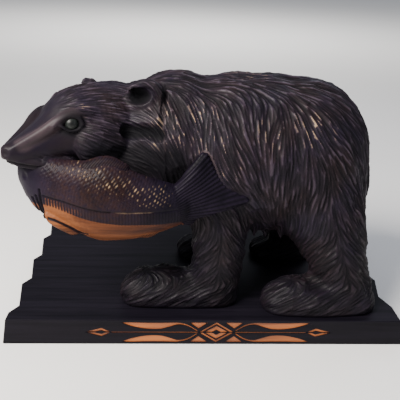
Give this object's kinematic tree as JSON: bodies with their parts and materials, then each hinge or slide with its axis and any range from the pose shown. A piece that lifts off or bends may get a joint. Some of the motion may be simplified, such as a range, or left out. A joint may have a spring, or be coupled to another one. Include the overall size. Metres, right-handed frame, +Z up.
{
  "type": "carved wooden bear",
  "caption": "Carved wooden bear standing on a plinth with a salmon held in its jaws, for display on a shelf or table.",
  "frame": {"origin": "centre of the plinth's underside", "axes": "+X from the bear's muzzle towards its rump, along the plinth's length; +Y away from the plinth's carved front; +Z up"},
  "size_m": [0.422, 0.2481, 0.2691],
  "materials": {
    "plinth_stain": "near-black stain under a satin wax, bare wood in the cut ornament",
    "bear_stain": "dark brown stain with a soft gloss, worn lighter on the crests of the carved fur",
    "eye_glass": "polished dark glass bead"
  },
  "bodies": {
    "root": {"base": "plinth_stain", "bear": "bear_stain", "eye_left": "eye_glass", "eye_right": "eye_glass"}
  },
  "joints": []
}
